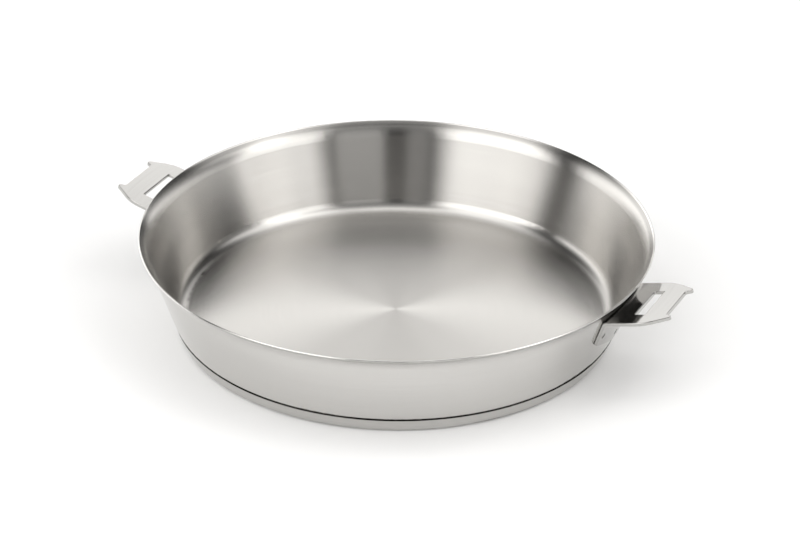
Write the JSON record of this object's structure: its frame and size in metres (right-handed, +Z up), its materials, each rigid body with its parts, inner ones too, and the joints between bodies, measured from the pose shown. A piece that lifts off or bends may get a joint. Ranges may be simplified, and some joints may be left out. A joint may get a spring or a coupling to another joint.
{
  "type": "frying pan",
  "caption": "Deep round stainless steel frying pan with flared wall, rolled-out lip, encapsulated base and opposite stamped brackets for removable handles.",
  "frame": {"origin": "bottom centre of the base, on the surface that the pan stands on", "axes": "+Z up along the pan's axis, +X towards the right bracket, +Y across"},
  "size_m": [0.355, 0.2996, 0.0578],
  "materials": {
    "brushed_steel_shell": "brushed inside, polished outside",
    "core_aluminium": "plain rolled",
    "polished_steel_cap": "polished",
    "polished_steel_bracket": "polished",
    "weld_steel": "spot weld dimple"
  },
  "bodies": {
    "root": {"pan_body": "brushed_steel_shell", "heat_core": "core_aluminium", "base_cap": "polished_steel_cap", "handle_bracket_right": "polished_steel_bracket", "handle_bracket_left": "polished_steel_bracket", "weld_spots_right": "weld_steel", "weld_spots_left": "weld_steel"}
  },
  "joints": []
}
